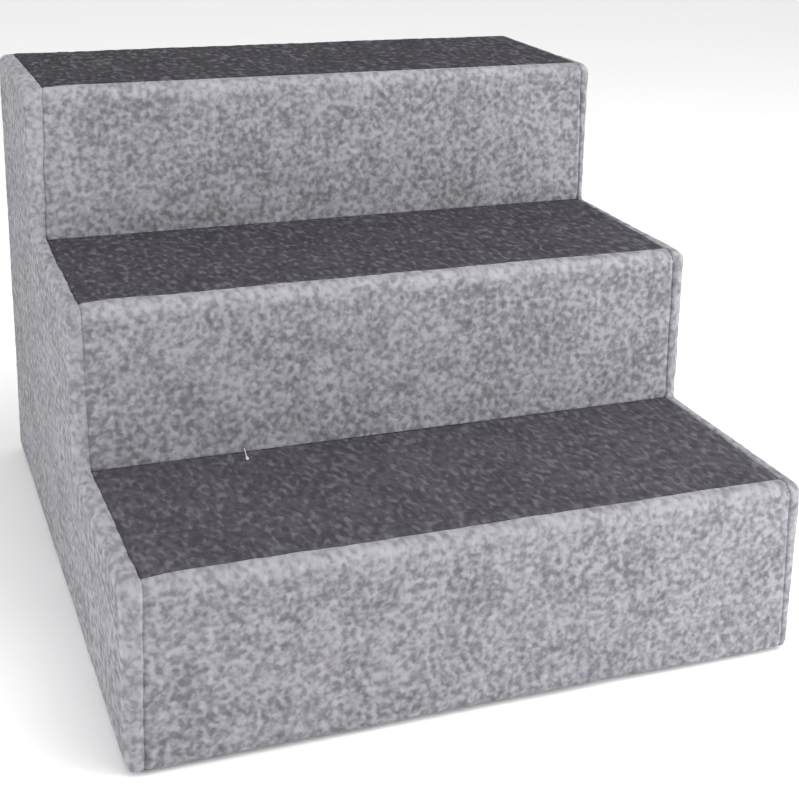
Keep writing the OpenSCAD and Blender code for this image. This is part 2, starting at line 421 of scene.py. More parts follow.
def cut_distance(points, node, cuts):
    """Distance from the nearest cut edge. A cut is an axis, an end of the CAD solid on it, and how much
    further than the others that edge is pushed into its seam."""
    low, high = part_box(node)
    nearest = np.full(len(points), 1.0)
    for axis, end, _ in cuts:
        face = (low, high)[end][axis]
        nearest = np.minimum(nearest, np.abs(points[:, axis] - face))
    return nearest


def squared_cuts(points, node, cuts):
    """Puts the points next to each cut edge onto it, because even faces leave it bevelled."""
    low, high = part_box(node)
    moved = points.copy()
    for axis, end, _ in cuts:
        face = (low, high)[end][axis]
        near = np.abs(moved[:, axis] - face) < 0.95 * MM
        moved[near, axis] = face
    return moved


def close_seams(points, node, cuts, closing):
    """Pushes the cut edges into the seams' gaps."""
    low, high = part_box(node)
    moved = points.copy()
    for axis, end, more in cuts:
        face = (low, high)[end][axis]
        near = 1 - ease(np.abs(points[:, axis] - face), 0.0, 4 * MM)
        moved[:, axis] += (-1, 1)[end] * (closing + more) * near
    return moved


def felt_relief(points, seed, settings):
    """Height of the felt's surface over a flat one."""
    broad = lumpy(points, 46 * MM, seed) + 0.5 * lumpy(points, 19 * MM, seed + 1)
    matted = lumpy(points, 4.6 * MM, seed + 2) + 0.6 * lumpy(points, 2.9 * MM, seed + 3)
    return settings.waviness * broad + settings.lumps * matted


def mark_scuffed_and_lit_edges(mesh, outline, depth, along, turned):
    """Stores how pale each point is painted: on the noses, partly scuffed and partly a painted highlight
    for the light from above, and where a side turns in over its edge, as painted light.
    """
    scuff_and_painted_light = np.zeros(len(depth))
    for step in STEPS:
        middle = outline.distance_to(f"nose_{step}") - 3 * MM
        scuff_and_painted_light = np.maximum(scuff_and_painted_light, 1 - ease(np.abs(along - middle), 2 * MM, 14 * MM))
    scuff_and_painted_light *= depth < 4 * MM
    scuff_and_painted_light = np.maximum(scuff_and_painted_light, turned * (1 - ease(depth, 2 * MM, 7 * MM)))
    mesh.attributes.new("scuff_and_painted_light", "FLOAT", "POINT").data.foreach_set("value", scuff_and_painted_light.astype(np.float32))


# Painted light: how pale each side's felt is painted, from 0 to 1, where it turns in over its panel's
# edge; the left edge is painted pale as if lit, the right one stays darker as if in shade
TURNED_PAINTED_LIGHT = {"left": 0.9, "right": 0.1}


def felt_piece(name, node, seed, outline, settings, cuts, side=None):
    """One glued-down piece of felt, cut from its CAD solid."""
    piece = voxel_copy(name, node, settings.grid)
    mesh = piece.data
    points = squared_cuts(read_points(mesh), node, cuts)
    depth, along, _ = outline.nearest(points)
    # Painted highlight on the noses and painted light on the turned edges, stored for the felt's colour
    mark_scuffed_and_lit_edges(mesh, outline, depth, along, TURNED_PAINTED_LIGHT.get(side, 0.0))
    if side:
        depth = np.minimum(depth, cad_high.x - np.abs(points[:, 0]))
    from_cut = cut_distance(points, node, cuts)
    points = smoothed(mesh, points, settings.smooth_passes, ease(from_cut, 0.9 * MM, 2.8 * MM))
    points = close_seams(points, node, cuts, settings.closing)
    points = drift_seams(points, outline, settings)
    points = round_side_edges(points, outline, settings.edge_radius)
    write_points(mesh, points)
    outer = (1 - ease(depth, 0.6 * MM, 2.2 * MM)) * ease(from_cut, 0.2 * MM, 3 * MM)
    height = felt_relief(points, seed, settings) * outer
    write_points(mesh, points + point_normals(mesh) * height[:, None])
    mesh.shade_smooth()
    mesh.materials.clear()
    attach(piece, ROOT)
    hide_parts(node)
    return piece


# ---- Shader parts ----

def add_node(tree, kind, x, y, values=None, **settings):
    """A shader node at a place in the editor, with socket values by name or number."""
    node = tree.nodes.new(kind)
    node.location = (x, y)
    for key, value in settings.items():
        setattr(node, key, value)
    for key, value in (values or {}).items():
        node.inputs[key].default_value = value
    return node


def new_group(name, inputs, outputs):
    """An empty shader node group with float or vector sockets, and its two end nodes."""
    tree = bpy.data.node_groups.new(name, "ShaderNodeTree")
    for direction, sockets in (("INPUT", inputs), ("OUTPUT", outputs)):
        for label, kind, default in sockets:
            socket = tree.interface.new_socket(name=label, in_out=direction, socket_type=kind)
            if default is not None:
                socket.default_value = default
    return tree, add_node(tree, "NodeGroupInput", -1500, 0), add_node(tree, "NodeGroupOutput", 900, 0)


def math_node(tree, operation, x, y, first=None, second=None, clamp=False):
    """A math node whose operands are sockets or numbers."""
    node = add_node(tree, "ShaderNodeMath", x, y, operation=operation, use_clamp=clamp)
    for index, operand in enumerate((first, second)):
        if operand is None:
            continue
        if isinstance(operand, (int, float)):
            node.inputs[index].default_value = operand
        else:
            tree.links.new(operand, node.inputs[index])
    return node.outputs[0]


def remap(tree, value, x, y, low, high, new_low=0.0, new_high=1.0):
    """A value moved from one range to another, smoothly and with ends."""
    node = add_node(
        tree, "ShaderNodeMapRange", x, y,
        {"From Min": low, "From Max": high, "To Min": new_low, "To Max": new_high},
        interpolation_type="SMOOTHSTEP",
    )
    tree.links.new(value, node.inputs["Value"])
    return node.outputs["Result"]


def noise(tree, vector, size, x, y, detail=1.0, roughness=0.5):
    """Noise with features of a size given by a socket."""
    node = add_node(tree, "ShaderNodeTexNoise", x, y, {"Detail": detail, "Roughness": roughness})
    tree.links.new(vector, node.inputs["Vector"])
    tree.links.new(math_node(tree, "DIVIDE", x - 160, y - 120, 1.0, size), node.inputs["Scale"])
    return node.outputs["Fac"]


def curls(tree, vector, size, offset, width, cover, x, y):
    """Short curved strands: the middle lines of a noise, broken up by another noise."""
    moved = add_node(tree, "ShaderNodeVectorMath", x, y, operation="ADD")
    moved.inputs[1].default_value = offset
    tree.links.new(vector, moved.inputs[0])
    line = noise(tree, moved.outputs[0], size, x + 350, y, detail=0.8)
    off_line = math_node(tree, "ABSOLUTE", x + 650, y, math_node(tree, "SUBTRACT", x + 500, y, line, 0.5))
    strand = remap(tree, off_line, x + 800, y, width, width * 0.25)
    wider = math_node(tree, "MULTIPLY", x + 180, y - 120, size, 1.2)
    gap = add_node(tree, "ShaderNodeVectorMath", x + 180, y - 260, operation="ADD")
    gap.inputs[1].default_value = (0.3, 0.7, 0.1)
    tree.links.new(moved.outputs[0], gap.inputs[0])
    broken = remap(
        tree, noise(tree, gap.outputs[0], wider, x + 500, y - 260),
        x + 800, y - 260, cover + 0.04, cover + 0.14,
    )
    return math_node(tree, "MULTIPLY", x + 980, y, strand, broken)


# Where the pale and the dark flecks are looked up, and the noise values where they start and are full
FLECKS = (((0.11, 0.37, 0.59), 0.50, 0.76), ((0.47, 0.91, 0.73), 0.49, 0.26))


def fibre_group():
    """Matted fibres: small mottled tufts, pale and dark flecks on them, and a few longer strands."""
    if "Matted Fibres" in bpy.data.node_groups:
        return bpy.data.node_groups["Matted Fibres"]
    tree, entry, out = new_group(
        "Matted Fibres",
        [
            ("Vector", "NodeSocketVector", None),
            ("Tuft Size", "NodeSocketFloat", 4.0 * MM),
            ("Fleck Size", "NodeSocketFloat", 3.0 * MM),
            ("Strand Size", "NodeSocketFloat", 6.0 * MM),
        ],
        [
            ("Tone", "NodeSocketFloat", None),
            ("Pale Fleck", "NodeSocketFloat", None),
            ("Dark Fleck", "NodeSocketFloat", None),
            ("Strands", "NodeSocketFloat", None),
            ("Height", "NodeSocketFloat", None),
        ],
    )
    link = tree.links.new
    place = entry.outputs["Vector"]
    fleck_size = entry.outputs["Fleck Size"]
    tufts = noise(tree, place, entry.outputs["Tuft Size"], -1100, 700, detail=1.5, roughness=0.5)
    broad = add_node(tree, "ShaderNodeTexNoise", -1100, 1000, {"Scale": 1 / (26 * MM), "Detail": 2.0})
    link(place, broad.inputs["Vector"])
    soft = remap(tree, tufts, -800, 700, 0.22, 0.78)
    wide = remap(tree, broad.outputs["Fac"], -800, 1000, 0.25, 0.75, -0.20, 0.20)
    tone = math_node(tree, "ADD", -500, 800, soft, wide)
    masks = []
    for row, (offset, low, high) in enumerate(FLECKS):
        moved = add_node(tree, "ShaderNodeVectorMath", -1300, 300 - 350 * row, operation="ADD")
        moved.inputs[1].default_value = offset
        link(place, moved.inputs[0])
        lumps = noise(tree, moved.outputs[0], fleck_size, -1050, 300 - 350 * row, detail=0.6)
        masks.append(remap(tree, lumps, -750, 300 - 350 * row, low, high))
    pale, dark = masks
    strand_size = entry.outputs["Strand Size"]
    one = curls(tree, place, strand_size, (0.19, 0.61, 0.43), 0.055, 0.50, -1100, -750)
    two = curls(tree, place, strand_size, (0.67, 0.05, 0.97), 0.055, 0.50, -1100, -1250)
    strands = math_node(tree, "MAXIMUM", 150, -900, one, two)
    height = math_node(tree, "ADD", 350, 50, soft, math_node(tree, "MULTIPLY", 250, 50, pale, 0.6))
    height = math_node(tree, "SUBTRACT", 500, 0, height, math_node(tree, "MULTIPLY", 350, -150, dark, 0.5))
    height = math_node(tree, "ADD", 680, 0, height, math_node(tree, "MULTIPLY", 500, -250, strands, 0.3))
    for label, value in (("Tone", tone), ("Pale Fleck", pale), ("Dark Fleck", dark), ("Strands", strands)):
        link(value, out.inputs[label])
    link(height, out.inputs["Height"])
    return tree


def laid_over(tree, under, tint, mask, amount, x, y):
    """A colour laid over another where a mask says."""
    mix = add_node(tree, "ShaderNodeMix", x, y, data_type="RGBA")
    mix.inputs["B"].default_value = (*[min(1.0, c) for c in tint], 1.0)
    tree.links.new(under, mix.inputs["A"])
    tree.links.new(math_node(tree, "MULTIPLY", x - 180, y - 200, mask, amount), mix.inputs["Factor"])
    return mix.outputs["Result"]


def felt_material(name, low, high, pale, dark, scuffed_and_lit, scuff_and_light_amount, sheen, tuft, fleck, nap):
    """Needled felt of mixed fibres: a tone between two shades, with pale and dark flecks along its nap.
    Pale, dark and scuffed_and_lit scale the colours; the scuffed_and_lit colour is partly wear and partly
    a painted highlight. Tuft and fleck are sizes in millimetres, and nap is how far each axis stretches
    them."""
    material = bpy.data.materials.new(name)
    material.use_nodes = True
    tree = material.node_tree
    tree.nodes.clear()
    link = tree.links.new
    place = add_node(tree, "ShaderNodeTexCoord", -1300, 0)
    fibres = add_node(tree, "ShaderNodeGroup", -1100, 0, node_tree=fibre_group())
    lie = add_node(tree, "ShaderNodeMapping", -1300, -250, vector_type="TEXTURE")
    lie.inputs["Scale"].default_value = nap
    link(place.outputs["Object"], lie.inputs["Vector"])
    link(lie.outputs[0], fibres.inputs["Vector"])
    fibres.inputs["Tuft Size"].default_value = tuft * MM
    fibres.inputs["Fleck Size"].default_value = fleck * MM
    fibres.inputs["Strand Size"].default_value = 6.0 * MM
    base = add_node(tree, "ShaderNodeMix", -850, 200, data_type="RGBA")
    base.inputs["A"].default_value = (*low, 1.0)
    base.inputs["B"].default_value = (*high, 1.0)
    link(fibres.outputs["Tone"], base.inputs["Factor"])
    darkest = [c * dark for c in low]
    palest = [c * pale for c in high]
    tint = laid_over(tree, base.outputs["Result"], darkest, fibres.outputs["Dark Fleck"], 0.55, -600, 200)
    # The stored attribute lays a paler colour: on the noses partly wear and partly a painted highlight,
    # and on the turned edges and lower treads as painted light
    scuff_and_painted_light = add_node(tree, "ShaderNodeAttribute", -700, 500, attribute_name="scuff_and_painted_light")
    patchy = remap(tree, fibres.outputs["Tone"], -700, 350, 0.2, 0.8, 0.6, 1.3)
    patchy = math_node(tree, "MULTIPLY", -550, 400, scuff_and_painted_light.outputs["Fac"], patchy, clamp=True)
    tint = laid_over(tree, tint, [c * scuffed_and_lit for c in high], patchy, scuff_and_light_amount, -400, 300)
    tint = laid_over(tree, tint, palest, fibres.outputs["Pale Fleck"], 0.6, -200, 200)
    tint = laid_over(tree, tint, palest, fibres.outputs["Strands"], 0.14, 0, 200)
    bump = add_node(tree, "ShaderNodeBump", -100, -300, {"Strength": 0.38, "Distance": 0.45 * MM})
    link(fibres.outputs["Height"], bump.inputs["Height"])
    shader = add_node(tree, "ShaderNodeBsdfPrincipled", 200, 0)
    shader.inputs["Sheen Weight"].default_value = sheen
    shader.inputs["Sheen Roughness"].default_value = 0.5
    shader.inputs["Specular IOR Level"].default_value = 0.03
    link(tint, shader.inputs["Base Color"])
    link(remap(tree, fibres.outputs["Tone"], -100, -100, 0.0, 1.0, 0.98, 0.86), shader.inputs["Roughness"])
    link(bump.outputs["Normal"], shader.inputs["Normal"])
    out = add_node(tree, "ShaderNodeOutputMaterial", 500, 0)
    link(shader.outputs[0], out.inputs["Surface"])
    return material


def felt_materials(settings):
    """The light and the dark felt, made once."""
    # The light felt's paler colour is part wear and part painted highlight on the noses and painted light
    # on the turned edges; the dark felt's is painted light on the lower treads
    light = bpy.data.materials.get("Light Felt") or felt_material(
        "Light Felt", settings.light_low, settings.light_high, pale=1.20, dark=0.75, scuffed_and_lit=1.25,
        scuff_and_light_amount=0.35, sheen=0.10, tuft=4.0, fleck=4.3, nap=(1.0, 1.8, 1.0),
    )
    dark = bpy.data.materials.get("Dark Felt") or felt_material(
        "Dark Felt", settings.dark_low, settings.dark_high, pale=2.9, dark=0.95, scuffed_and_lit=2.2,
        scuff_and_light_amount=1.0, sheen=0.0, tuft=4.2, fleck=3.5, nap=(1.0, 2.0, 1.0),
    )
    return light, dark


def grain_group():
    """Wood fibre that runs along X, with rings and short pores."""
    if "Wood Grain" in bpy.data.node_groups:
        return bpy.data.node_groups["Wood Grain"]
    tree, entry, out = new_group(
        "Wood Grain",
        [
            ("Vector", "NodeSocketVector", None),
            ("Grain Length", "NodeSocketFloat", 60 * MM),
            ("Grain Width", "NodeSocketFloat", 2.5 * MM),
        ],
        [("Tone", "NodeSocketFloat", None), ("Height", "NodeSocketFloat", None)],
    )
    link = tree.links.new
    size = add_node(tree, "ShaderNodeCombineXYZ", -1200, -100)
    link(entry.outputs["Grain Length"], size.inputs[0])
    link(entry.outputs["Grain Width"], size.inputs[1])
    link(entry.outputs["Grain Width"], size.inputs[2])
    lie = add_node(tree, "ShaderNodeMapping", -1000, 0, vector_type="TEXTURE")
    link(entry.outputs["Vector"], lie.inputs["Vector"])
    link(size.outputs[0], lie.inputs["Scale"])
    ring_shape = {"Scale": 0.45, "Detail": 3.0, "Distortion": 0.6}
    rings = add_node(tree, "ShaderNodeTexNoise", -750, 150, ring_shape)
    link(lie.outputs[0], rings.inputs["Vector"])
    pore_shape = {"Scale": 3.2, "Detail": 2.0, "Roughness": 0.7}
    pores = add_node(tree, "ShaderNodeTexNoise", -750, -150, pore_shape)
    link(lie.outputs[0], pores.inputs["Vector"])
    broad = remap(tree, rings.outputs["Fac"], -500, 150, 0.3, 0.7)
    fine = remap(tree, pores.outputs["Fac"], -500, -150, 0.25, 0.75)
    mostly = math_node(tree, "MULTIPLY", -250, 150, broad, 0.6)
    partly = math_node(tree, "MULTIPLY", -250, -50, fine, 0.4)
    tone = math_node(tree, "ADD", -50, 100, mostly, partly)
    link(tone, out.inputs["Tone"])
    link(fine, out.inputs["Height"])
    return tree


def wood_material(name, low, high, grain_length, grain_width, roughness, depth):
    """A wooden or fibreboard surface between two shades."""
    material = bpy.data.materials.new(name)
    material.use_nodes = True
    tree = material.node_tree
    tree.nodes.clear()
    link = tree.links.new
    place = add_node(tree, "ShaderNodeTexCoord", -800, 0)
    grain = add_node(tree, "ShaderNodeGroup", -600, 0, node_tree=grain_group())
    link(place.outputs["Object"], grain.inputs["Vector"])
    grain.inputs["Grain Length"].default_value = grain_length
    grain.inputs["Grain Width"].default_value = grain_width
    mix = add_node(tree, "ShaderNodeMix", -350, 100, data_type="RGBA")
    mix.inputs["A"].default_value = (*low, 1.0)
    mix.inputs["B"].default_value = (*high, 1.0)
    link(grain.outputs["Tone"], mix.inputs["Factor"])
    bump = add_node(tree, "ShaderNodeBump", -350, -250, {"Strength": 0.4, "Distance": depth})
    link(grain.outputs["Height"], bump.inputs["Height"])
    shader = add_node(tree, "ShaderNodeBsdfPrincipled", 0, 0)
    link(mix.outputs["Result"], shader.inputs["Base Color"])
    link(
        remap(tree, grain.outputs["Tone"], -350, -80, 0.0, 1.0, roughness + 0.08, roughness - 0.08),
        shader.inputs["Roughness"],
    )
    link(bump.outputs["Normal"], shader.inputs["Normal"])
    out = add_node(tree, "ShaderNodeOutputMaterial", 300, 0)
    link(shader.outputs[0], out.inputs["Surface"])
    return material


def speck_group():
    """Fine uneven specks."""
    if "Fine Specks" in bpy.data.node_groups:
        return bpy.data.node_groups["Fine Specks"]
    tree, entry, out = new_group(
        "Fine Specks",
        [("Vector", "NodeSocketVector", None), ("Specks per Metre", "NodeSocketFloat", 1000.0)],
        [("Tone", "NodeSocketFloat", None)],
    )
    specks = add_node(tree, "ShaderNodeTexNoise", -600, 0, {"Detail": 3.0})
    tree.links.new(entry.outputs["Vector"], specks.inputs["Vector"])
    tree.links.new(entry.outputs["Specks per Metre"], specks.inputs["Scale"])
    tree.links.new(specks.outputs["Fac"], out.inputs["Tone"])
    return tree


def speckled_material(name, tint, roughness, metallic, speck, spread, depth):
    """Rubber, plated steel, thread or another surface with a fine uneven finish."""
    material = bpy.data.materials.new(name)
    material.use_nodes = True
    tree = material.node_tree
    tree.nodes.clear()
    link = tree.links.new
    place = add_node(tree, "ShaderNodeTexCoord", -800, 0)
    specks = add_node(tree, "ShaderNodeGroup", -600, 0, node_tree=speck_group())
    specks.inputs["Specks per Metre"].default_value = 1 / speck
    link(place.outputs["Object"], specks.inputs["Vector"])
    tone = specks.outputs["Tone"]
    mix = add_node(tree, "ShaderNodeMix", -300, 100, data_type="RGBA")
    mix.inputs["A"].default_value = (*[c * (1 - spread) for c in tint], 1.0)
    mix.inputs["B"].default_value = (*[min(1.0, c * (1 + spread)) for c in tint], 1.0)
    link(tone, mix.inputs["Factor"])
    bump = add_node(tree, "ShaderNodeBump", -300, -250, {"Strength": 0.3, "Distance": depth})
    link(tone, bump.inputs["Height"])
    shader = add_node(tree, "ShaderNodeBsdfPrincipled", 0, 0, {"Metallic": metallic})
    link(mix.outputs["Result"], shader.inputs["Base Color"])
    link(
        remap(tree, tone, -300, -80, 0.3, 0.7, roughness - 0.08, roughness + 0.08),
        shader.inputs["Roughness"],
    )
    link(bump.outputs["Normal"], shader.inputs["Normal"])
    out = add_node(tree, "ShaderNodeOutputMaterial", 300, 0)
    link(shader.outputs[0], out.inputs["Surface"])
    return material


def finish_nodes(nodes, material):
    """Gives CAD nodes a material in place of the one that they came with."""
    for node in nodes:
        mesh = frame["nodes"][node].data
        mesh.materials.clear()
        mesh.materials.append(material)


# ---- Fibres and thread ----

def tube_mesh(name, paths, radii, sides=3):
    """Closed tubes along several paths of the same number of points. Radii has one value for a ring."""
    points, faces = [], []
    for path in paths:
        path = np.asarray(path)
        ahead = np.gradient(path, axis=0)
        ahead /= np.linalg.norm(ahead, axis=1)[:, None]
        helper = np.array([0.31, 0.52, 0.79])
        across = np.cross(ahead, helper)
        across /= np.linalg.norm(across, axis=1)[:, None]
        up = np.cross(ahead, across)
        start = len(points)
        for p, a, u, r in zip(path, across, up, radii):
            for i in range(sides):
                angle = 2 * math.pi * i / sides
                points.append(p + r * (math.cos(angle) * a + math.sin(angle) * u))
        rings = len(path)
        for ring in range(rings - 1):
            low = start + ring * sides
            for i in range(sides):
                j = (i + 1) % sides
                faces.append((low + i, low + j, low + sides + j, low + sides + i))
        faces.append(tuple(start + i for i in reversed(range(sides))))
        faces.append(tuple(start + (rings - 1) * sides + i for i in range(sides)))
    mesh = bpy.data.meshes.new(name)
    mesh.from_pydata([tuple(p) for p in points], [], faces)
    mesh.update()
    mesh.shade_smooth()
    piece = bpy.data.objects.new(name, mesh)
    bpy.context.scene.collection.objects.link(piece)
    return piece


def fibre_paths(pieces, count, seed, outline):
    """Short curved paths that leave the felt's outer face and lie back over it."""
    rng = np.random.default_rng(seed)
    points = np.concatenate([read_points(p.data) for p in pieces])
    normals = np.concatenate([point_normals(p.data) for p in pieces])
    depth, _, _ = outline.nearest(points)
    side_depth = cad_high.x - np.abs(points[:, 0])
    outer = (depth < 0.8 * MM) | (side_depth < 0.8 * MM)
    outer &= points[:, 2] > outline.bottom + 2 * MM
    chosen = rng.choice(np.flatnonzero(outer), size=count, replace=False)
    paths = []
    for p, n in zip(points[chosen], normals[chosen]):
        side = np.cross(n, rng.normal(size=3))
        side /= np.linalg.norm(side)
        turn = np.cross(n, side)
        run = rng.uniform(1.6, 4.2) * MM
        rise = rng.uniform(0.25, 0.9) * MM
        bow = rng.uniform(-0.5, 0.5) * run
        steps = np.linspace(0.0, 1.0, 5)
        lift = rise * np.sin(math.pi * np.minimum(steps * rng.uniform(0.55, 0.95), 1.0)) - 0.15 * MM
        path = p + side * (run * steps)[:, None] + n * lift[:, None]
        paths.append(path + turn * (bow * steps**2)[:, None])
    return paths


# ---- Operators ----

# The cut edges at the left and right ends of a piece, as cut_distance takes them
ENDS = ((0, 0, 0.0), (0, 1, 0.0))


def felt_settings(context):
    """The felt's sizes and colours."""
    return context.scene.pet_stairs_felt


class PETSTAIRS_OT_side_felts(bpy.types.Operator):
    """Covers both side panels, each in one piece that turns in over its edges"""

    bl_idname = "pet_stairs.side_felts"
    bl_label = "Side Felts"

    def execute(self, context):
        settings = felt_settings(context)
        outline = Outline(settings.nose_radius, settings.base_radius)
        light, _ = felt_materials(settings)
        for seed, side in enumerate(SIDES):
            piece = felt_piece(
                f"{side}_side_covering", f"{side}_side_felt", 11 + 10 * seed, outline, settings,
                cuts=[(0, 1 - seed, 0.0)], side=side,
            )
            piece.data.materials.append(light)
        return {"FINISHED"}


class PETSTAIRS_OT_riser_felts(bpy.types.Operator):
    """Covers each riser and its nose, and the first riser's bottom edge"""

    bl_idname = "pet_stairs.riser_felts"
    bl_label = "Riser Felts"

    def execute(self, context):
        settings = felt_settings(context)
        outline = Outline(settings.nose_radius, settings.base_radius)
        light, _ = felt_materials(settings)
        for step in STEPS:
            node = f"riser_felt_{step}"
            piece = felt_piece(
                f"riser_covering_{step}", node, 40 + 10 * step, outline, settings,
                cuts=[*ENDS, (1, 1, 0.0)],
            )
            piece.data.materials.append(light)
        return {"FINISHED"}


# Painted light: how much paler each tread is painted, from 0 to 1, the lowest most, standing in for how
# the treads are lit
TREAD_PAINTED_LIGHT = {1: 0.28, 2: 0.15, 3: 0.0}


def spread_painted_light(mesh, share):
    """Paints a tread evenly paler by a share, as painted light, in place of its scuffed edges."""
    scuff_and_painted_light = mesh.attributes["scuff_and_painted_light"].data
    scuff_and_painted_light.foreach_set("value", np.full(len(scuff_and_painted_light), share, dtype=np.float32))


class PETSTAIRS_OT_tread_felts(bpy.types.Operator):
    """Covers each tread behind its nose in dark felt"""

    bl_idname = "pet_stairs.tread_felts"
    bl_label = "Tread Felts"

    def execute(self, context):
        settings = felt_settings(context)
        outline = Outline(settings.nose_radius, settings.base_radius)
        _, dark = felt_materials(settings)
        for step in STEPS:
            node = f"tread_felt_{step}"
            back = (1, 1, 0.2 * MM) if step < STEPS[-1] else (2, 0, 0.0)
            piece = felt_piece(
                f"tread_covering_{step}", node, 80 + 10 * step, outline, settings,
                cuts=[*ENDS, (1, 0, 0.0), back],
            )
            # Painted light: the lower treads are painted paler
            spread_painted_light(piece.data, TREAD_PAINTED_LIGHT[step])
            piece.data.materials.append(dark)
        return {"FINISHED"}


class PETSTAIRS_OT_back_felt(bpy.types.Operator):
    """Covers the back board and its bottom edge"""

    bl_idname = "pet_stairs.back_felt"
    bl_label = "Back Felt"

    def execute(self, context):
        settings = felt_settings(context)
        outline = Outline(settings.nose_radius, settings.base_radius)
        light, _ = felt_materials(settings)
        piece = felt_piece(
            "back_covering", "back_felt", 130, outline, settings, cuts=[*ENDS, (2, 1, 0.0)]
        )
        piece.data.materials.append(light)
        return {"FINISHED"}


class PETSTAIRS_OT_loose_fibres(bpy.types.Operator):
    """Raises loose fibres from the light and the dark felt"""

    bl_idname = "pet_stairs.loose_fibres"
    bl_label = "Loose Fibres"

    def execute(self, context):
        settings = felt_settings(context)
        outline = Outline(settings.nose_radius, settings.base_radius)
        pale = [o for o in bpy.data.objects if "covering" in o.name and "tread" not in o.name]
        dark = [o for o in bpy.data.objects if o.name.startswith("tread_covering")]
        if not pale or not dark:
            raise RuntimeError("make the felt pieces before their loose fibres")
        radii = [0.07 * MM, 0.07 * MM, 0.06 * MM, 0.05 * MM, 0.02 * MM]
        for name, pieces, share, slot, tint, seed in (
            ("pale_fuzz", pale, 0.72, "light_felt", (0.42, 0.41, 0.44), 3),
            ("dark_fuzz", dark, 0.28, "dark_felt", (0.20, 0.195, 0.21), 4),
        ):
            paths = fibre_paths(pieces, int(settings.fuzz * share), seed, outline)
            piece = tube_mesh(name, paths, radii)
            piece.data.materials.append(
                speckled_material(f"Fibre {slot}", tint, 0.8, 0.0, 9 * MM, 0.35, 0.01 * MM)
            )
            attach(piece, ROOT)
        return {"FINISHED"}


# How far the thread comes out from the left end of the stairs
THREAD_PLACE = 101.8 * MM

# Where the thread's end lies, from the foot of the second riser, in millimetres
THREAD_ROUTE = (
    (0.3, 0.4, 1.6), (0.2, -0.8, 1.3), (0.1, -2.6, 1.0), (-0.3, -5.4, 0.8),
    (-0.8, -8.6, 0.75), (-1.2, -11.8, 1.0), (-1.6, -14.2, 1.25), (-1.8, -16.0, 1.25),
)


class PETSTAIRS_OT_thread(bpy.types.Operator):
    """Leaves the end of a white thread lying on the first tread"""

    bl_idname = "pet_stairs.thread"
    bl_label = "Thread End"

    def execute(self, context):
        start = np.array([cad_low.x + THREAD_PLACE, nose_front(2), tread_level(1)])
        path = start + np.array(THREAD_ROUTE) * MM
        radii = [0.32 * MM] * (len(path) - 3) + [0.60 * MM, 1.20 * MM, 0.75 * MM]
        piece = tube_mesh("thread_end", [path], radii, sides=8)
        rounding = piece.modifiers.new("Round", "SUBSURF")
        rounding.levels = rounding.render_levels = 2
        piece.data.materials.append(
            speckled_material("White Thread", (0.52, 0.51, 0.53), 0.8, 0.0, 0.6 * MM, 0.15, 0.05 * MM)
        )
        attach(piece, ROOT)
        return {"FINISHED"}


class PETSTAIRS_OT_boards(bpy.types.Operator):
    """Finishes the fibreboard panels, the hardboard base and the pine battens"""

    bl_idname = "pet_stairs.boards"
    bl_label = "Boards and Battens"

    def execute(self, context):
        settings = context.scene.pet_stairs_boards
        nodes = frame["nodes"]
        boards = [n for n in nodes if n.endswith("panel") or "_board" in n]
        battens = [n for n in nodes if "_post_" in n or "_cleat_" in n or "_rail_" in n]
        boards.remove("base_board")
        finish_nodes(
            boards,
            wood_material(
                "Fibreboard", settings.board_low, settings.board_high, 3 * MM, 1.2 * MM, 0.75, 0.1 * MM
            ),
        )
        finish_nodes(
            ["base_board"],
            wood_material(
                "Hardboard", settings.hard_low, settings.hard_high, 5 * MM, 0.9 * MM, 0.6, 0.12 * MM
            ),
        )
        finish_nodes(
            battens,
            wood_material(
                "Pine", settings.pine_low, settings.pine_high, 70 * MM, 2.4 * MM, 0.6, 0.15 * MM
            ),
        )
        return {"FINISHED"}


class PETSTAIRS_OT_screws_and_feet(bpy.types.Operator):
    """Finishes the zinc-plated screws and the rubber feet"""

    bl_idname = "pet_stairs.screws_and_feet"
    bl_label = "Screws and Feet"

    def execute(self, context):
        settings = context.scene.pet_stairs_boards
        nodes = frame["nodes"]
        finish_nodes(
            [n for n in nodes if n.endswith("_screws")],
            speckled_material("Zinc Plate", settings.zinc, 0.35, 1.0, 0.8 * MM, 0.12, 0.02 * MM),
        )
        finish_nodes(
            [n for n in nodes if n.endswith("_foot")],
            speckled_material("Foot Rubber", settings.rubber, 0.7, 0.0, 0.5 * MM, 0.35, 0.08 * MM),
        )
        return {"FINISHED"}


def area_light(name, place, target, size, energy):
    """A soft white rectangular light that faces a point."""
    lamp = bpy.data.lights.new(name, "AREA")
    lamp.shape = "RECTANGLE"
    lamp.size, lamp.size_y = size
    lamp.energy = energy
    holder = bpy.data.objects.new(name, lamp)
    bpy.context.scene.collection.objects.link(holder)
    holder.location = place
    holder.rotation_euler = (Vector(target) - Vector(place)).to_track_quat("-Z", "Y").to_euler()


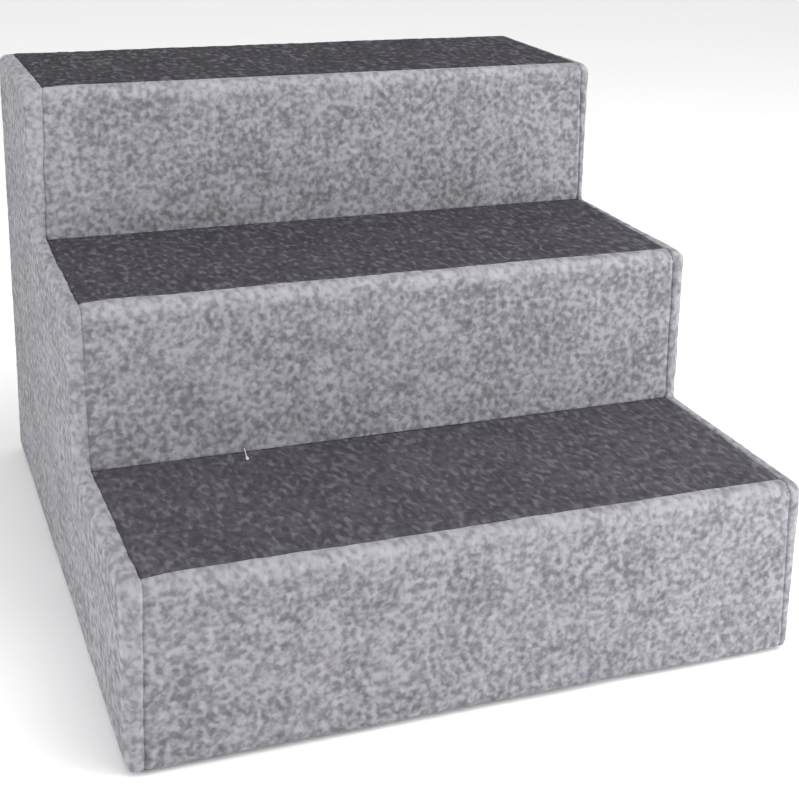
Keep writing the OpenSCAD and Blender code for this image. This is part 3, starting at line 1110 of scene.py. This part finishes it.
class PETSTAIRS_OT_stage(bpy.types.Operator):
    """Sets up the camera, a pale floor and soft studio lights"""

    bl_idname = "pet_stairs.stage"
    bl_label = "Stage"

    def execute(self, context):
        settings = context.scene.pet_stairs_stage
        self.camera(context, settings)
        self.floor(settings)
        self.lights(context, settings)
        return {"FINISHED"}

    def camera(self, context, settings):
        """Places the camera by its turn, tilt and roll, from the front left bottom corner."""
        data = bpy.data.cameras.new("Camera")
        data.lens = settings.lens_mm
        data.sensor_width = 36.0
        data.shift_y = settings.shift_y
        data.clip_end = 60.0
        holder = bpy.data.objects.new("Camera", data)
        context.scene.collection.objects.link(holder)
        width = cad_high.x - cad_low.x
        corner = Vector((cad_low.x, cad_low.y, cad_low.z))
        turn, tilt = settings.turn, settings.tilt
        ahead = Vector((math.sin(turn) * math.cos(tilt), math.cos(turn) * math.cos(tilt), -math.sin(tilt)))
        right = Vector((math.cos(turn), -math.sin(turn), 0.0))
        down = ahead.cross(right)
        across = math.cos(settings.roll) * right + math.sin(settings.roll) * down
        below = -math.sin(settings.roll) * right + math.cos(settings.roll) * down
        axes = Matrix((across, -below, -ahead)).transposed()
        place = corner + Vector(settings.place) * width
        holder.matrix_world = Matrix.Translation(place) @ axes.to_4x4()
        context.scene.camera = holder

    def floor(self, settings):
        """Lays a wide floor under the feet."""
        reach = 30.0
        mesh = bpy.data.meshes.new("floor")
        corners = [(-reach, -reach, 0), (reach, -reach, 0), (reach, reach, 0), (-reach, reach, 0)]
        mesh.from_pydata(corners, [], [(0, 1, 2, 3)])
        ground = bpy.data.objects.new("floor", mesh)
        bpy.context.scene.collection.objects.link(ground)
        ground.location.z = cad_low.z
        mesh.materials.append(speckled_material("Floor", settings.floor, 0.75, 0.0, 0.25, 0.01, 0.05 * MM))

    def lights(self, context, settings):
        """Sets two low lights, one overhead and an even light from all round."""
        middle = (cad_low + cad_high) / 2
        area_light("Low Key", (0.75, -0.72, 0.28), middle, (0.5, 0.4), settings.low_key)
        area_light("Low Fill", (-0.95, -0.28, 0.18), middle, (0.5, 0.3), settings.low_fill)
        area_light("Top Light", (0.62, -0.50, 1.82), middle, (1.6, 1.6), settings.top)
        world = bpy.data.worlds.new("Studio")
        context.scene.world = world
        world.use_nodes = True
        background = world.node_tree.nodes["Background"]
        background.inputs["Color"].default_value = (1.0, 1.0, 1.0, 1.0)
        background.inputs["Strength"].default_value = settings.sky
        context.scene.view_settings.view_transform = "Standard"
        context.scene.view_settings.look = "None"


# ---- Panel and registration ----

OPERATORS = (
    PETSTAIRS_OT_stage,
    PETSTAIRS_OT_side_felts,
    PETSTAIRS_OT_riser_felts,
    PETSTAIRS_OT_tread_felts,
    PETSTAIRS_OT_back_felt,
    PETSTAIRS_OT_loose_fibres,
    PETSTAIRS_OT_thread,
    PETSTAIRS_OT_boards,
    PETSTAIRS_OT_screws_and_feet,
)


class PETSTAIRS_PT_sidebar(bpy.types.Panel):
    """Lists the pieces of the stairs and their settings"""

    bl_idname = "PETSTAIRS_PT_sidebar"
    bl_label = "Pet Stairs"
    bl_space_type = "VIEW_3D"
    bl_region_type = "UI"
    bl_category = "Pet Stairs"

    def draw(self, context):
        layout = self.layout
        for operator in OPERATORS:
            layout.operator(operator.bl_idname)
        for settings in (
            context.scene.pet_stairs_felt,
            context.scene.pet_stairs_boards,
            context.scene.pet_stairs_stage,
        ):
            box = layout.box()
            for name in settings.bl_rna.properties.keys():
                if name not in ("rna_type", "name"):
                    box.prop(settings, name)


SETTINGS = {
    "pet_stairs_felt": StairsFeltSettings,
    "pet_stairs_boards": StairsBoardSettings,
    "pet_stairs_stage": StairsStageSettings,
}


def register():
    """Adds the settings, the operators and the panel."""
    for name, group in SETTINGS.items():
        bpy.utils.register_class(group)
        setattr(bpy.types.Scene, name, bpy.props.PointerProperty(type=group))
    for cls in (*OPERATORS, PETSTAIRS_PT_sidebar):
        bpy.utils.register_class(cls)


def unregister():
    """Takes the panel, the operators and the settings away again."""
    for cls in reversed((*OPERATORS, PETSTAIRS_PT_sidebar)):
        bpy.utils.unregister_class(cls)
    for name, group in SETTINGS.items():
        delattr(bpy.types.Scene, name)
        bpy.utils.unregister_class(group)


def main():
    """Makes every piece in order."""
    register()
    bpy.ops.pet_stairs.stage()
    bpy.ops.pet_stairs.side_felts()
    bpy.ops.pet_stairs.riser_felts()
    bpy.ops.pet_stairs.tread_felts()
    bpy.ops.pet_stairs.back_felt()
    bpy.ops.pet_stairs.loose_fibres()
    bpy.ops.pet_stairs.thread()
    bpy.ops.pet_stairs.boards()
    bpy.ops.pet_stairs.screws_and_feet()


if __name__ == "__main__":
    main()
